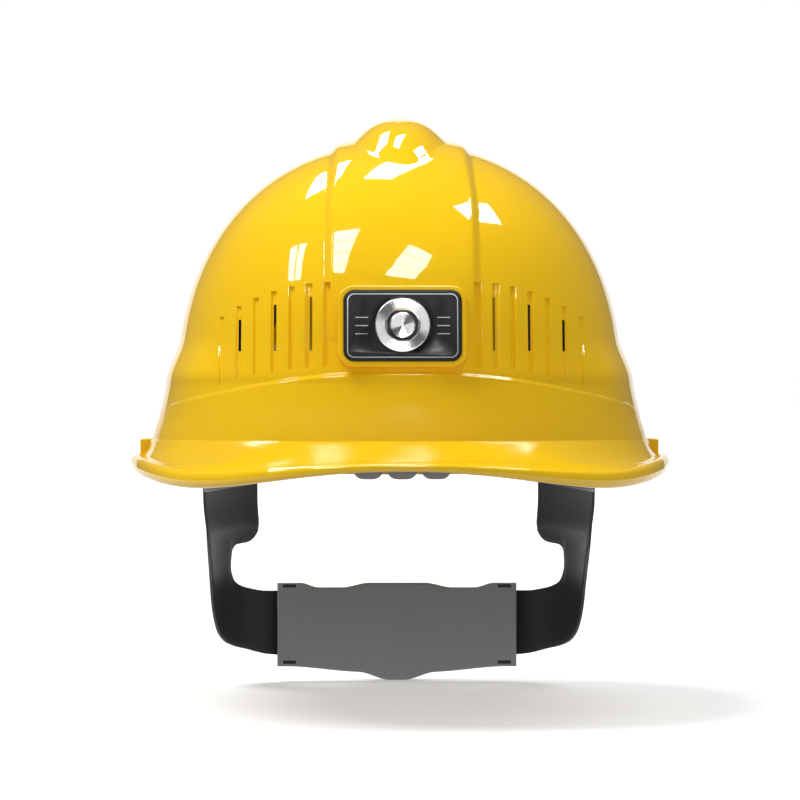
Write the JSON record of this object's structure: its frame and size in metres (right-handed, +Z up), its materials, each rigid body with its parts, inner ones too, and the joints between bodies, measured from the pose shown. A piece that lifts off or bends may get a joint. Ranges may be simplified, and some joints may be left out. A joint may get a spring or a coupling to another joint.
{
  "type": "safety helmet",
  "caption": "Industrial safety helmet with front peak, crown bump, side vents, forehead badge, webbing cradle and a nape ratchet that tightens the headband.",
  "frame": {"origin": "middle of the head opening, in the plane just under the rim", "axes": "+Z up through the crown; the front and its peak face -Y; +X is the viewer's right"},
  "size_m": [0.2184, 0.287, 0.2361],
  "materials": {
    "shell_yellow": "gloss",
    "badge_dark": "satin",
    "medallion_metal": "turned",
    "band_charcoal": "satin",
    "cover_grey": "matte",
    "pad_grey": "knit",
    "webbing": "woven",
    "acetal_grey": "satin",
    "steel": "zinc plated"
  },
  "bodies": {
    "root": {"shell": "shell_yellow", "badge_plate": "badge_dark", "medallion_ring": "medallion_metal", "medallion_button": "medallion_metal", "key_front_right": "band_charcoal", "key_front_left": "band_charcoal", "key_side_right": "band_charcoal", "key_side_left": "band_charcoal", "key_rear_right": "band_charcoal", "key_rear_left": "band_charcoal", "strap_front_right": "webbing", "strap_side": "webbing", "strap_front_left": "webbing", "headband": "band_charcoal", "brow_pad": "pad_grey", "nape_arm_right": "band_charcoal", "nape_arm_left": "band_charcoal", "band_rivets": "band_charcoal"},
    "nape": {"ratchet_housing": "band_charcoal", "nape_cover": "cover_grey", "pawl_spring": "acetal_grey"},
    "knob": {"knob": "band_charcoal", "pinion": "acetal_grey", "washer": "steel", "knob_screw": "steel"},
    "rack_right": {"rack_right": "band_charcoal"},
    "rack_left": {"rack_left": "band_charcoal"}
  },
  "joints": [
    {"name": "nape_slide", "type": "slide", "parent": "root", "child": "nape", "axis": [0, -1, 0], "range_m": [-0.0117, 0.0117]},
    {"name": "knob_spin", "type": "hinge", "parent": "nape", "child": "knob", "pos_m": [0, 0.11, -0.0658], "axis": [0, 1, 0], "range_deg": [-171.8, 171.8]},
    {"name": "rack_left_slide", "type": "slide", "parent": "root", "child": "rack_left", "axis": [0.8384, -0.545, 0], "range_m": [-0.0216, 0.0216]},
    {"name": "rack_right_slide", "type": "slide", "parent": "root", "child": "rack_right", "axis": [-0.8384, -0.545, 0], "range_m": [-0.0216, 0.0216]}
  ],
  "couplings": [
    {"joint": "nape_slide", "follows": "knob_spin", "m_per_rad": 0.0039},
    {"joint": "rack_left_slide", "follows": "knob_spin", "m_per_rad": 0.0071561},
    {"joint": "rack_right_slide", "follows": "knob_spin", "m_per_rad": 0.0071561}
  ]
}
